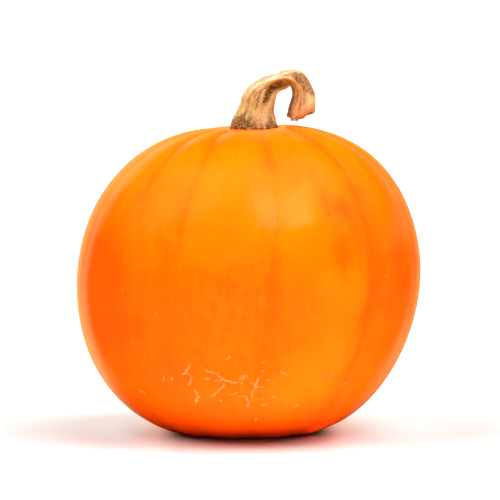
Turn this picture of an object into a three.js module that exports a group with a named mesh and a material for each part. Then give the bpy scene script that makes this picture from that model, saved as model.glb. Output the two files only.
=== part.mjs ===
import * as THREE from "three";

// A small round pumpkin standing on its own flattened underside: one ribbed fruit, and the woody stem that hooks over
// to the right of it. Millimetres, +Z up, front towards -Y; the flat spot lies on z = 0.

// ---- Fruit: the profile is a short sine and cosine series in t, from t = 0 underneath to t = PI under the stem ----
const RADIUS_TERMS = [79.72, 7.29, -13.75, -3.01];
const HEIGHT_MIDDLE = 90.01;
const HEIGHT_TERMS = [97.78, 8.51, -15.52, -4.46];
const LEAN_TERMS = [3.96, -1.65, -3.57]; // sideways shift against height: the fruit grew slightly askew
const LEAN_HEIGHT = 82;
const LEAN_SPAN = 85;
const SHOULDER_TILT = 0.042; // the right shoulder stands a little higher
const TILT_START = 100;
const TILT_SPAN = 68;
const CROWN_SHIFT = 4.7; // the ribs run together around the stem, which sits off the middle
const CROWN_REACH = 62;

// Furrows between the ribs: bearing in degrees from the front (-Y) towards +X, and relative depth.
const FURROWS = [
  [-90, 0.6],
  [-67, 0.5],
  [-42.7, 0.6],
  [-20, 0.85],
  [13, 1.1],
  [49.3, 1.15],
  [79, 0.8],
  [108, 0.9],
  [139, 0.75],
  [170, 1.0],
  [203, 0.7],
  [237, 0.85],
];
const FURROW_BASE = 0.6; // depth underneath
const FURROW_RISE = 1.1; // extra depth towards the stem
const FURROW_ROUNDING = 0.12;
const FURROW_TWIST = -10; // degrees of drift from the stem down to the underside
const FURROW_SPREAD = 85; // degrees by which the front furrows splay as they reach the stem
const SPREAD_INNER = 20; // radius inside which the splay grows no further

// Level seat under the stem, and the hollow of the old flower underneath, where the furrows die out.
const SEAT_HEIGHT = 167.5;
const SEAT_INNER = 13.8;
const SEAT_OUTER = 24;
const HOLLOW_RADIUS = 10;

const COLUMNS_PER_RIB = 7;
const FLAT_ROWS = 6;
const BODY_ROWS = 32;

// ---- Stem: one row per station from the foot to the torn end ----
// outer edge x, z; inner edge x, z; half depth; y of the middle; collapsed fold: depth, place towards the inner edge,
// half width; ridge height; twist
const STATIONS = [
  [-9.4, 167.8, 15.6, 167.8, 12.2, 0.0, 0, 0.4, 0.2, 0.075, 0],
  [-9.0, 170.7, 15.1, 170.7, 11.6, 0.0, 0, 0.4, 0.2, 0.07, 0],
  [-7.5, 174.3, 14.1, 174.1, 10.5, 0.0, 0, 0.4, 0.2, 0.055, 0],
  [-5.7, 177.3, 13.5, 177.2, 9.6, 0.0, 0.04, 0.42, 0.2, 0.045, 2],
  [-4.3, 180.7, 13.8, 180.4, 9.1, 0.0, 0.16, 0.46, 0.2, 0.04, 4],
  [-2.5, 186.3, 14.9, 184.1, 8.7, 0.0, 0.32, 0.45, 0.22, 0.04, 8],
  [0.7, 190.7, 15.4, 186.2, 8.4, 0.0, 0.46, 0.39, 0.25, 0.04, 12],
  [5.3, 194.2, 16.6, 187.5, 8.0, -0.2, 0.68, 0.32, 0.32, 0.04, 16],
  [9.5, 196.0, 18.2, 188.4, 7.7, -0.4, 0.85, 0.26, 0.4, 0.04, 22],
  [14.2, 197.1, 19.8, 189.2, 7.3, -0.5, 0.9, 0.22, 0.45, 0.04, 30],
  [18.7, 198.8, 21.5, 190.1, 6.9, -0.6, 0.85, 0.36, 0.4, 0.05, 40],
  [23.3, 199.4, 22.8, 191.1, 6.6, -0.8, 0.6, 0.52, 0.3, 0.055, 50],
  [27.7, 198.9, 23.4, 190.8, 6.3, -1.0, 0.32, 0.6, 0.22, 0.06, 58],
  [31.4, 196.2, 24.0, 189.4, 6.1, -1.2, 0.22, 0.62, 0.2, 0.065, 64],
  [34.1, 191.8, 24.3, 187.2, 6.0, -1.4, 0.18, 0.62, 0.2, 0.07, 68],
  [36.0, 187.5, 24.2, 184.8, 6.0, -1.5, 0.15, 0.6, 0.2, 0.07, 70],
  [36.7, 183.3, 23.7, 182.3, 6.1, -1.6, 0.12, 0.58, 0.2, 0.065, 72],
  [36.7, 179.7, 22.6, 179.1, 6.1, -1.7, 0.1, 0.57, 0.2, 0.06, 72],
  [36.3, 177.0, 21.6, 175.4, 5.8, -1.8, 0.08, 0.56, 0.2, 0.06, 72],
];
const RIDGES = 8;
const FOLD_POWER = 2.6; // squareness of the fold's walls
const FOLD_FACING = 0.35;
const FOOT_LOBES = 6;
const FOOT_LOBE_HEIGHT = 0.07;
const FOOT_LOBE_PHASE = 12;
const TORN_SAG = 2.9; // how far the front and back of the torn end hang below its edges
const TORN_TURN = 18; // degrees by which that hang is turned about the stem
const TORN_HOLLOW = 1.8;
const STEM_COLUMNS = 48;
const ROWS_PER_STATION = 2.5;

const clamp01 = (v) => Math.min(1, Math.max(0, v));
const smoothstep = (a, b, v) => {
  const s = clamp01((v - a) / (b - a));
  return s * s * (3 - 2 * s);
};
const mix = (a, b, s) => a + (b - a) * s;
const rad = (degrees) => THREE.MathUtils.degToRad(degrees);

// Depth of the furrows at a bearing: a rounded V between one rib and the next.
function furrow(rib, u) {
  const [, depthA] = FURROWS[rib];
  const [, depthB] = FURROWS[(rib + 1) % FURROWS.length];
  const e2 = FURROW_ROUNDING ** 2;
  const s = Math.sin(Math.PI * u);
  const valley = (Math.sqrt(1 + e2) - Math.sqrt(s * s + e2)) / (Math.sqrt(1 + e2) - FURROW_ROUNDING);
  return mix(depthA, depthB, u) * valley;
}

// A point of the skin before the flat spot is pressed in: rib number, place across the rib 0..1, profile parameter t.
function skinPoint(rib, u, t) {
  let radius = 0;
  let height = HEIGHT_MIDDLE;
  let radiusSlope = 0;
  let heightSlope = 0;
  RADIUS_TERMS.forEach((a, k) => {
    radius += a * Math.sin((k + 1) * t);
    radiusSlope += a * (k + 1) * Math.cos((k + 1) * t);
  });
  HEIGHT_TERMS.forEach((b, k) => {
    height -= b * Math.cos((k + 1) * t);
    heightSlope += b * (k + 1) * Math.sin((k + 1) * t);
  });
  const slope = Math.hypot(radiusSlope, heightSlope);
  const upper = t > Math.PI / 2;
  const fade = upper ? smoothstep(SEAT_INNER, SEAT_OUTER + 4, radius) : smoothstep(HOLLOW_RADIUS, 30, radius);
  const depth = (FURROW_BASE + FURROW_RISE * Math.sin(t / 2) ** 3) * furrow(rib, u) * fade;
  const r = radius - (heightSlope / slope) * depth;
  let z = height + (radiusSlope / slope) * depth;

  const startBearing = FURROWS[rib][0];
  const endBearing = rib + 1 < FURROWS.length ? FURROWS[rib + 1][0] : FURROWS[0][0] + 360;
  const plain = rad(mix(startBearing, endBearing, u) + FURROW_TWIST * Math.cos(t / 2) ** 2);
  const near = upper ? Math.max(0, 1 - Math.max(radius, SPREAD_INNER) / CROWN_REACH) ** 2 : 0;
  const bearing = plain + rad(FURROW_SPREAD) * near * Math.sin(plain) * Math.max(0, Math.cos(plain));
  const h = (height - LEAN_HEIGHT) / LEAN_SPAN;
  const lean = LEAN_TERMS[0] * h + LEAN_TERMS[1] * h * h + LEAN_TERMS[2] * h * h * h;
  const crown = upper ? CROWN_SHIFT * Math.max(0, 1 - radius / CROWN_REACH) ** 2 : 0;
  const x = r * Math.sin(bearing) + lean + crown;
  const y = -r * Math.cos(bearing);
  z += SHOULDER_TILT * (x - 4) * smoothstep(0, 1, (height - TILT_START) / TILT_SPAN);
  if (upper) z = mix(SEAT_HEIGHT, z, smoothstep(SEAT_INNER, SEAT_OUTER, radius));
  return { x, y, z, radius };
}

// Where the skin of one column meets the ground plane.
function flatEdge(rib, u) {
  let low = 0.3;
  let high = 1.2;
  for (let i = 0; i < 40; i += 1) {
    const middle = (low + high) / 2;
    if (skinPoint(rib, u, middle).z < 0) low = middle;
    else high = middle;
  }
  return high;
}

// A closed skin from rings of equal length, with one point closing each end.
function closedSkin(rings, first, last) {
  const columns = rings[0].length;
  const points = [first, ...rings.flat(), last];
  const index = [];
  const at = (row, column) => 1 + row * columns + (column % columns);
  for (let c = 0; c < columns; c += 1) {
    index.push(0, at(0, c + 1), at(0, c));
    for (let row = 0; row + 1 < rings.length; row += 1) {
      index.push(at(row, c), at(row, c + 1), at(row + 1, c + 1));
      index.push(at(row, c), at(row + 1, c + 1), at(row + 1, c));
    }
    index.push(points.length - 1, at(rings.length - 1, c), at(rings.length - 1, c + 1));
  }
  const geometry = new THREE.BufferGeometry();
  geometry.setAttribute("position", new THREE.Float32BufferAttribute(points.flat(), 3));
  geometry.setIndex(index);
  geometry.computeVertexNormals();
  return geometry;
}

function fruitGeometry() {
  const columns = [];
  for (let rib = 0; rib < FURROWS.length; rib += 1) {
    for (let k = 0; k < COLUMNS_PER_RIB; k += 1) {
      const v = k / COLUMNS_PER_RIB;
      const u = v - (0.5 * Math.sin(2 * Math.PI * v)) / (2 * Math.PI); // columns gather at the furrows
      columns.push({ rib, u, edge: flatEdge(rib, u) });
    }
  }
  const rings = [];
  for (let row = 1; row <= FLAT_ROWS; row += 1) {
    rings.push(
      columns.map(({ rib, u, edge }) => {
        const p = skinPoint(rib, u, edge * (row / FLAT_ROWS));
        return [p.x, p.y, row === FLAT_ROWS ? 0 : Math.max(p.z, 0)];
      }),
    );
  }
  for (let row = 1; row < BODY_ROWS; row += 1) {
    rings.push(
      columns.map(({ rib, u, edge }) => {
        const p = skinPoint(rib, u, mix(edge, Math.PI, row / BODY_ROWS));
        return [p.x, p.y, Math.max(p.z, 0)];
      }),
    );
  }
  const bottom = skinPoint(0, 0, 0);
  const top = skinPoint(0, 0, Math.PI);
  return closedSkin(rings, [bottom.x, bottom.y, bottom.z], [top.x, top.y, SEAT_HEIGHT]);
}

// Station values at a place s along the stem, on a smooth curve through the listed ones.
function stemStation(s) {
  const last = STATIONS.length - 1;
  const i = Math.min(Math.floor(s), last - 1);
  const f = s - i;
  const [a, b, c, d] = [Math.max(i - 1, 0), i, i + 1, Math.min(i + 2, last)].map((k) => STATIONS[k]);
  return b.map((p1, k) => {
    const slope1 = (c[k] - a[k]) / 2;
    const slope2 = (d[k] - p1) / 2;
    const rise = c[k] - p1;
    return p1 + f * (slope1 + f * (3 * rise - 2 * slope1 - slope2 + f * (slope1 + slope2 - 2 * rise)));
  });
}

// A point of the stem's skin: s along the stem, angle in degrees from the front towards its outer side.
function stemPoint(s, angle) {
  const [ox, oz, ix, iz, halfDepth, middleY, foldDepth, foldPlace, foldWidth, ridge, twist] = stemStation(s);
  const footShare = 1 - smoothstep(0, 3.5, s);
  let scale = 1 + ridge * (1 - footShare) * Math.cos(rad(RIDGES * (angle + twist)));
  scale += FOOT_LOBE_HEIGHT * footShare * Math.cos(rad(FOOT_LOBES * (angle - FOOT_LOBE_PHASE)));
  const across = (scale * Math.sin(rad(angle))) / 2;
  const facing = Math.cos(rad(angle));
  const off = (Math.sin(rad(angle)) + foldPlace) / foldWidth;
  const fold = foldDepth * Math.exp(-(Math.abs(off) ** FOLD_POWER)) * smoothstep(0, FOLD_FACING, facing);
  const forward = halfDepth * (scale * facing - fold);
  return [(ox + ix) / 2 + across * (ox - ix), middleY - forward, (oz + iz) / 2 + across * (oz - iz)];
}

function stemGeometry() {
  const last = STATIONS.length - 1;
  const angles = Array.from({ length: STEM_COLUMNS }, (_, c) => (-360 * c) / STEM_COLUMNS);
  const rings = [];
  const rows = Math.round(last * ROWS_PER_STATION);
  for (let row = 0; row <= rows; row += 1) {
    const s = (last * row) / rows;
    rings.push(angles.map((angle) => stemPoint(s, angle)));
  }
  // The torn end: its rim hangs lowest at the front and back, uneven, and the middle is hollow.
  const [ox, oz, ix, iz, , middleY] = STATIONS[last];
  const middle = [(ox + ix) / 2, middleY, (oz + iz) / 2];
  const torn = (angle) => {
    const a = rad(angle);
    const sag = TORN_SAG * Math.cos(a + rad(TORN_TURN)) ** 2 * (1 - 0.5 * Math.sin(a));
    return sag + 0.4 * Math.sin(3 * a + 1) + 0.35 * Math.sin(7 * a);
  };
  const rim = angles.map((angle) => {
    const [x, y, z] = stemPoint(last, angle);
    return [mix(middle[0], x, 0.96), mix(middle[1], y, 0.96), z - 0.4 - Math.max(0, torn(angle))];
  });
  const lip = rim.map(([x, y, z]) => [mix(middle[0], x, 0.72), mix(middle[1], y, 0.72), z + 0.5]);
  rings.push(rim, lip);
  const foot = stemStation(0);
  const footMiddle = [(foot[0] + foot[2]) / 2, foot[5], foot[1]];
  return closedSkin(rings, footMiddle, [middle[0], middle[1], middle[2] - TORN_SAG + TORN_HOLLOW]);
}

const group = new THREE.Group();
group.name = "pumpkin";

const fruit = new THREE.Mesh(
  fruitGeometry(),
  new THREE.MeshStandardMaterial({ color: 0xfa7a06, roughness: 0.34, metalness: 0 }),
);
fruit.name = "fruit";

const stem = new THREE.Mesh(
  stemGeometry(),
  new THREE.MeshStandardMaterial({ color: 0xd9a766, roughness: 0.8, metalness: 0 }),
);
stem.name = "stem";

group.add(fruit, stem);

export default group;
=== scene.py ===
import math
import bpy
import numpy as np
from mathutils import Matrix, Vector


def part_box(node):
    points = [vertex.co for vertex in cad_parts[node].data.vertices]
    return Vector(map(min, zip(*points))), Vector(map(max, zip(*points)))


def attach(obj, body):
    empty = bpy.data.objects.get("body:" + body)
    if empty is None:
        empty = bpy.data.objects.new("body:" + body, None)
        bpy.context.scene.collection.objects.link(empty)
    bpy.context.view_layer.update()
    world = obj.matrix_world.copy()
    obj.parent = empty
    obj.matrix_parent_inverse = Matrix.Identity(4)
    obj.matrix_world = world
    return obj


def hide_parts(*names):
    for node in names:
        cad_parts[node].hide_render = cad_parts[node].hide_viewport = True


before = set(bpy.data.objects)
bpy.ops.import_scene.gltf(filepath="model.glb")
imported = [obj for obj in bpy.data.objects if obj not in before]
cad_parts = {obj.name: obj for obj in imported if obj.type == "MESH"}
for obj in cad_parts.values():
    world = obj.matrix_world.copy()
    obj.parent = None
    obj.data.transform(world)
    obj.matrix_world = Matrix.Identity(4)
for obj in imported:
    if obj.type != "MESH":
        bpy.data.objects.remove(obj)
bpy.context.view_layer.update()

MM = 0.001

# ---------------------------------------------------------------- the fruit's form, as in the CAD source (mm)
RADIUS_TERMS = (79.72, 7.29, -13.75, -3.01)
HEIGHT_MIDDLE = 90.01
HEIGHT_TERMS = (97.78, 8.51, -15.52, -4.46)
LEAN_TERMS = (3.96, -1.65, -3.57)
LEAN_HEIGHT, LEAN_SPAN = 82, 85
SHOULDER_TILT, TILT_AXIS, TILT_START, TILT_SPAN = 0.042, 4, 100, 68
CROWN_SHIFT, CROWN_REACH = 4.7, 62
# each furrow: bearing in degrees from the front towards +X, depth
FURROWS = np.array([(-90, 0.6), (-67, 0.5), (-42.7, 0.6), (-20, 0.85), (13, 1.1), (49.3, 1.15),
                    (79, 0.8), (108, 0.9), (139, 0.75), (170, 1.0), (203, 0.7), (237, 0.85)], float)
FURROW_BASE, FURROW_RISE, FURROW_ROUNDING, FURROW_TWIST = 0.6, 1.1, 0.12, -10
FURROW_SPREAD, SPREAD_INNER = 85, 20
CROWN_FADE, HOLLOW_FADE = 28, 30
SEAT_HEIGHT, SEAT_INNER, SEAT_OUTER, HOLLOW_RADIUS = 167.5, 13.8, 24, 10
RIBS = len(FURROWS)


def smoothstep(a, b, v):
    s = np.clip((np.asarray(v, float) - a) / (b - a), 0, 1)
    return s * s * (3 - 2 * s)


def mix(a, b, s):
    return a + (b - a) * s


def unit(v):
    """Vectors of length 1 in the directions of v."""
    return v / np.linalg.norm(v, axis=-1, keepdims=True)


def apart(a, b):
    """How far bearing a is past bearing b, -180 to 180 degrees."""
    return (a - b + 180) % 360 - 180


def bell(off, half):
    return np.exp(-(off / half) ** 2)


def rib_end(rib):
    """Bearing of the furrow where a rib ends."""
    return np.where(rib + 1 < RIBS, FURROWS[(rib + 1) % RIBS, 0], FURROWS[0, 0] + 360)


def furrow(rib, u):
    """How deep the skin lies at a place u across a rib, 0 to 1: deepest in the furrows at its two ends."""
    a, b = FURROWS[rib, 1], FURROWS[(rib + 1) % RIBS, 1]
    e2 = FURROW_ROUNDING ** 2
    s = np.sin(np.pi * u)
    valley = (np.sqrt(1 + e2) - np.sqrt(s * s + e2)) / (np.sqrt(1 + e2) - FURROW_ROUNDING)
    return mix(a, b, u) * valley


def skin(rib, u, t):
    """Points of the fruit's skin, and the radius and furrow value there; rib, u and t are arrays of one shape.

    The profile parameter t runs from 0 at the flower end to pi at the stem."""
    radius, height, dr, dz = 0.0, HEIGHT_MIDDLE, 0.0, 0.0
    for k, (a, b) in enumerate(zip(RADIUS_TERMS, HEIGHT_TERMS), 1):
        radius = radius + a * np.sin(k * t)
        dr = dr + a * k * np.cos(k * t)
        height = height - b * np.cos(k * t)
        dz = dz + b * k * np.sin(k * t)
    slope = np.hypot(dr, dz)
    upper = t > np.pi / 2
    fade = smoothstep(HOLLOW_RADIUS, HOLLOW_FADE, radius)
    fade = np.where(upper, smoothstep(SEAT_INNER, CROWN_FADE, radius), fade)
    groove = furrow(rib, u)
    depth = (FURROW_BASE + FURROW_RISE * np.sin(t / 2) ** 3) * groove * fade
    r = radius - dz / slope * depth
    z = height + dr / slope * depth
    plain = np.radians(mix(FURROWS[rib, 0], rib_end(rib), u) + FURROW_TWIST * np.cos(t / 2) ** 2)
    near = np.where(upper, np.maximum(0, 1 - np.maximum(radius, SPREAD_INNER) / CROWN_REACH) ** 2, 0)
    bearing = plain + math.radians(FURROW_SPREAD) * near * np.sin(plain) * np.maximum(0, np.cos(plain))
    h = (height - LEAN_HEIGHT) / LEAN_SPAN
    lean = LEAN_TERMS[0] * h + LEAN_TERMS[1] * h ** 2 + LEAN_TERMS[2] * h ** 3
    crown = np.where(upper, CROWN_SHIFT * np.maximum(0, 1 - radius / CROWN_REACH) ** 2, 0)
    x = r * np.sin(bearing) + lean + crown
    y = -r * np.cos(bearing)
    z = z + SHOULDER_TILT * (x - TILT_AXIS) * smoothstep(0, 1, (height - TILT_START) / TILT_SPAN)
    z = np.where(upper, mix(SEAT_HEIGHT, z, smoothstep(SEAT_INNER, SEAT_OUTER, radius)), z)
    return np.stack([x, y, z], -1), radius, groove * fade


def rib_place(bearing, t):
    """Rib number and place across it for a true bearing in degrees."""
    b = np.asarray(bearing, float) - FURROW_TWIST * np.cos(np.asarray(t) / 2) ** 2
    b = (b - FURROWS[0, 0]) % 360 + FURROWS[0, 0]
    rib = np.clip(np.searchsorted(FURROWS[:, 0], b, side="right") - 1, 0, RIBS - 1)
    return rib, (b - FURROWS[rib, 0]) / (rib_end(rib) - FURROWS[rib, 0])


def wave_noise(p, scale, seed, octaves=3):
    """Smooth seeded noise, about -1 to 1, in the shape of p's points: sine waves in random directions."""
    rng = np.random.default_rng(seed)
    total, weight = 0.0, 0.0
    for o in range(octaves):
        part = 0.0
        for _ in range(6):
            turns = p @ unit(rng.normal(size=3)) * (2 * np.pi / scale * 2 ** o)
            part = part + np.sin(turns + rng.uniform(0, 6.28))
        total = total + part / 6 * 0.6 ** o
        weight += 0.6 ** o
    return total / weight * 1.6


def mesh_object(name, verts_mm, faces, attributes=None):
    """A smooth mesh from points in mm, with a float attribute for each key."""
    mesh = bpy.data.meshes.new(name)
    mesh.from_pydata((np.asarray(verts_mm, float) * MM).tolist(), [], faces)
    for key, values in (attributes or {}).items():
        mesh.attributes.new(key, "FLOAT", "POINT").data.foreach_set("value", np.asarray(values, np.float32))
    mesh.polygons.foreach_set("use_smooth", [True] * len(mesh.polygons))
    mesh.update()
    obj = bpy.data.objects.new(name, mesh)
    bpy.context.scene.collection.objects.link(obj)
    return obj


def ring_faces(rows, columns):
    """Quads between closed rings whose vertices start at 1, with fans to vertex 0 and to the last one."""
    c = np.arange(columns)
    sides = list(zip(c.tolist(), ((c + 1) % columns).tolist()))
    faces = [(0, 1 + b, 1 + a) for a, b in sides]
    for r in range(rows - 1):
        o, p = 1 + r * columns, 1 + (r + 1) * columns
        faces += [(o + a, o + b, p + b, p + a) for a, b in sides]
    o = 1 + (rows - 1) * columns
    return faces + [(o + columns, o + a, o + b) for a, b in sides]


# ---------------------------------------------------------------- fruit skin
# Patches of golden (+) and deep orange (-) skin: bearing, height, half width in degrees, half height in mm,
# strength. First the front, then the sides and the back, which are guessed.
TONE_PATCHES = (
    (0, 128, 34, 34, 0.26), (22, 36, 17, 26, 0.24), (-8, 28, 14, 12, 0.06), (0, 28, 70, 26, -0.17),
    (45, 136, 6, 16, -0.14), (-2, 165, 45, 7, -0.22), (-8, 108, 20, 12, 0.09), (30, 98, 8, 12, 0.10),
    (14, 118, 5, 8, 0.08), (40, 44, 12, 20, -0.12), (10, 24, 20, 10, -0.06), (0, 117, 13, 13, 0.09),
    # on this row, (8, 90) along the middle furrow and (-61, 84) and (58, 78) on the left and right flanks are
    # painted shade
    (8, 90, 2.4, 22, -0.20), (10.5, 153, 4.0, 10, -0.24), (-61, 84, 17, 38, -0.86), (58, 78, 12, 40, -0.45),
    (-38, 48, 17, 34, -0.26), (-7, 78, 11, 18, -0.06), (-4, 54, 12, 14, 0.10), (-34, 92, 12, 26, -0.10),
    (66, 118, 14, 30, -0.20), (20, 160, 40, 12, -0.12), (15, 113, 6, 10, 0.20), (27, 90, 6, 12, 0.24),
    (37, 83, 5, 10, 0.22), (29, 58, 8, 14, 0.20), (20, 37, 10, 12, 0.08), (23.7, 131, 2.5, 14, 0.30),
    (12, 140, 5, 10, 0.12), (11, 22, 10, 8, 0.10), (38, 46, 8, 16, 0.12), (29.8, 131, 1.8, 8, -0.42),
    (36, 128, 3.4, 6, -0.54), (32.8, 104, 3.2, 9, -0.50), (-28, 99, 3.0, 14, -0.20), (40, 116, 3.0, 12, -0.22),
    (47, 95, 3.5, 22, -0.16),
    (104, 70, 16, 40, -0.45), (128, 120, 20, 30, 0.15), (152, 55, 18, 34, -0.50), (184, 98, 20, 36, 0.22),
    (212, 60, 15, 34, -0.48), (236, 110, 16, 28, 0.18), (258, 56, 14, 30, -0.30), (140, 96, 3, 12, -0.3),
    (196, 120, 3, 10, -0.3), (246, 84, 3, 14, -0.25),
)
# the second of these is painted light: the skin grows more golden towards the top, where more light falls
TONE_BASE, CROWN_LIGHT_TONE, TONE_WANDER = 0.58, 0.25, 0.10
CROWN_HEIGHTS = (105, 160)


def skin_tone(verts):
    """How golden the skin is, 0 to 1, at each point in mm."""
    x, y, z = verts.T
    bearing = np.degrees(np.arctan2(x, -y))
    tone = TONE_BASE + CROWN_LIGHT_TONE * smoothstep(*CROWN_HEIGHTS, z) + TONE_WANDER * wave_noise(verts, 48, 5)
    for at, height, half_width, half_height, strength in TONE_PATCHES:
        tone = tone + strength * bell(apart(bearing, at), half_width) * bell(z - height, half_height)
    return tone


# For each furrow: strength of its dark line above, height in mm where that changes, strength below.
FURROW_LINES = np.array([(0.6, 120, 0.1), (0.8, 156, 0.0), (0.9, 138, 0.0), (1.0, 112, 0.05), (0.55, 95, 0.25),
                         (0.9, 60, 0.75), (0.7, 90, 0.4), (0.9, 100, 0.3), (0.7, 80, 0.3), (0.9, 70, 0.6),
                         (0.8, 110, 0.2), (0.9, 90, 0.4)])
LINE_CHANGE, LINE_START, LINE_FULL = 14, 14, 24
SKIN_CENTRE, GROWTH_DEPTH, GROWTH_START, GROWTH_FULL = np.array([0.5, 0, 84.0]), 0.35, 20, 45
FURROW_CROWDING, FAR_FROM_FURROW = 0.7, 50


def grown_skin(rib, u, t):
    """The skin with the shallow unevenness of a grown fruit, always inwards."""
    p, radius, groove = skin(rib, u, t)
    lumps = 0.5 + 0.5 * wave_noise(p * (1, 1, 0.6), 55, 3, 2)
    depth = np.clip(lumps, 0, 1) * GROWTH_DEPTH * smoothstep(GROWTH_START, GROWTH_FULL, radius)
    return p - unit(p - SKIN_CENTRE) * depth[..., None], radius, groove


def make_fruit():
    """The skin in fine steps that crowd at the furrows, with its tone and its dark lines."""
    per_rib, rows = 30, 236
    v = np.arange(per_rib) / per_rib
    u = v - FURROW_CROWDING * np.sin(2 * np.pi * v) / (2 * np.pi)
    rib = np.repeat(np.arange(RIBS), per_rib)
    t = np.linspace(0, np.pi, rows + 2)[1:-1]
    T, R = np.meshgrid(t, rib, indexing="ij")
    U = np.broadcast_to(np.tile(u, RIBS), T.shape)
    p, radius, _ = grown_skin(R, U, T)
    p[..., 2] = np.maximum(p[..., 2], 0)
    first, last = (skin(0, np.float64(0), np.float64(end))[0] for end in (0, np.pi))
    low, high = (np.array(c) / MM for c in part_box("fruit"))
    verts = np.clip(np.concatenate([[first], p.reshape(-1, 3), [last]]), low, high)
    width = np.radians(rib_end(R) - FURROWS[R, 0]) * radius
    nearest = np.where(U < 0.5, R, (R + 1) % RIBS)
    above, change, below = np.moveaxis(FURROW_LINES[nearest], -1, 0)
    line = mix(below, above, smoothstep(change - LINE_CHANGE, change + LINE_CHANGE, p[..., 2]))
    line = line * smoothstep(LINE_START, LINE_FULL, radius)
    from_furrow = np.minimum(U, 1 - U) * width
    return mesh_object("fruit_skin", verts, ring_faces(rows, len(rib)), {
        "from_furrow": np.concatenate([[FAR_FROM_FURROW], from_furrow.ravel(), [FAR_FROM_FURROW]]),
        "line": np.concatenate([[0], line.ravel(), [0]]),
        "tone": skin_tone(verts),
    })


# ---------------------------------------------------------------- the stem's form, as in the CAD source (mm)
# Each station: x and z of its outer edge, x and z of its inner edge, half thickness, y of its middle, depth,
# place and width of the fold, height of the ridges and their turn in degrees.
STATIONS = np.array([
    (-9.4, 167.8, 15.6, 167.8, 12.2, 0.0, 0, 0.4, 0.2, 0.075, 0),
    (-9.0, 170.7, 15.1, 170.7, 11.6, 0.0, 0, 0.4, 0.2, 0.07, 0),
    (-7.5, 174.3, 14.1, 174.1, 10.5, 0.0, 0, 0.4, 0.2, 0.055, 0),
    (-5.7, 177.3, 13.5, 177.2, 9.6, 0.0, 0.04, 0.42, 0.2, 0.045, 2),
    (-4.3, 180.7, 13.8, 180.4, 9.1, 0.0, 0.16, 0.46, 0.2, 0.04, 4),
    (-2.5, 186.3, 14.9, 184.1, 8.7, 0.0, 0.32, 0.45, 0.22, 0.04, 8),
    (0.7, 190.7, 15.4, 186.2, 8.4, 0.0, 0.46, 0.39, 0.25, 0.04, 12),
    (5.3, 194.2, 16.6, 187.5, 8.0, -0.2, 0.68, 0.32, 0.32, 0.04, 16),
    (9.5, 196.0, 18.2, 188.4, 7.7, -0.4, 0.85, 0.26, 0.4, 0.04, 22),
    (14.2, 197.1, 19.8, 189.2, 7.3, -0.5, 0.9, 0.22, 0.45, 0.04, 30),
    (18.7, 198.8, 21.5, 190.1, 6.9, -0.6, 0.85, 0.36, 0.4, 0.05, 40),
    (23.3, 199.4, 22.8, 191.1, 6.6, -0.8, 0.6, 0.52, 0.3, 0.055, 50),
    (27.7, 198.9, 23.4, 190.8, 6.3, -1.0, 0.32, 0.6, 0.22, 0.06, 58),
    (31.4, 196.2, 24.0, 189.4, 6.1, -1.2, 0.22, 0.62, 0.2, 0.065, 64),
    (34.1, 191.8, 24.3, 187.2, 6.0, -1.4, 0.18, 0.62, 0.2, 0.07, 68),
    (36.0, 187.5, 24.2, 184.8, 6.0, -1.5, 0.15, 0.6, 0.2, 0.07, 70),
    (36.7, 183.3, 23.7, 182.3, 6.1, -1.6, 0.12, 0.58, 0.2, 0.065, 72),
    (36.7, 179.7, 22.6, 179.1, 6.1, -1.7, 0.1, 0.57, 0.2, 0.06, 72),
    (36.3, 177.0, 21.6, 175.4, 5.8, -1.8, 0.08, 0.56, 0.2, 0.06, 72),
], float)
RIDGES, FOLD_POWER, FOLD_FACING = 8, 2.6, 0.35
FOOT_LOBES, FOOT_LOBE_HEIGHT, FOOT_LOBE_PHASE, FOOT_END = 6, 0.07, 12, 3.5
TORN_SAG, TORN_TURN, TORN_HOLLOW = 2.9, 18, 1.8
# rings from the torn edge inwards: share of the edge's size, how far each hangs
TORN_RINGS = ((0.999, 0.10), (0.998, 0.22), (0.997, 0.36), (0.995, 0.50), (0.992, 0.64), (0.986, 0.78),
              (0.975, 0.90), (0.95, 1.0), (0.91, 1.0), (0.86, 0.85), (0.78, 0.6), (0.65, 0.3), (0.45, 0.1),
              (0.22, 0.0))
LAST = len(STATIONS) - 1


def stem_station(s):
    """The columns of STATIONS at any place s along the stem, on a smooth curve through the stations."""
    s = np.asarray(s, float)
    i = np.minimum(np.floor(s).astype(int), LAST - 1)
    f = (s - i)[..., None]
    a, b, c, d = (STATIONS[k] for k in (np.maximum(i - 1, 0), i, i + 1, np.minimum(i + 2, LAST)))
    m1, m2, rise = (c - a) / 2, (d - b) / 2, c - b
    return b + f * (m1 + f * (3 * rise - 2 * m1 - m2 + f * (m1 + m2 - 2 * rise)))


def stem_point(s, angle, extra=0.0):
    """Points of the stem's skin; angle in degrees from the front towards its outer side."""
    ox, oz, ix, iz, half, mid, depth, place, width, ridge, twist = np.moveaxis(stem_station(s), -1, 0)
    foot = 1 - smoothstep(0, FOOT_END, s)
    scale = 1 + ridge * (1 - foot) * np.cos(np.radians(RIDGES * (angle + twist)))
    scale = scale + FOOT_LOBE_HEIGHT * foot * np.cos(np.radians(FOOT_LOBES * (angle - FOOT_LOBE_PHASE)))
    facing = np.cos(np.radians(angle))
    off = (np.sin(np.radians(angle)) + place) / width
    inward = depth * np.exp(-(np.abs(off) ** FOLD_POWER)) * smoothstep(0, FOLD_FACING, facing)
    scale = scale + extra
    across = scale * np.sin(np.radians(angle)) / 2
    forward = half * (scale * facing - inward)
    p = np.stack([(ox + ix) / 2 + across * (ox - ix), mid - forward, (oz + iz) / 2 + across * (oz - iz)], -1)
    return p, inward, off


def stem_middle(s):
    row = stem_station(s)
    return (row[..., [0, 5, 1]] + row[..., [2, 5, 3]]) / 2


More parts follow.
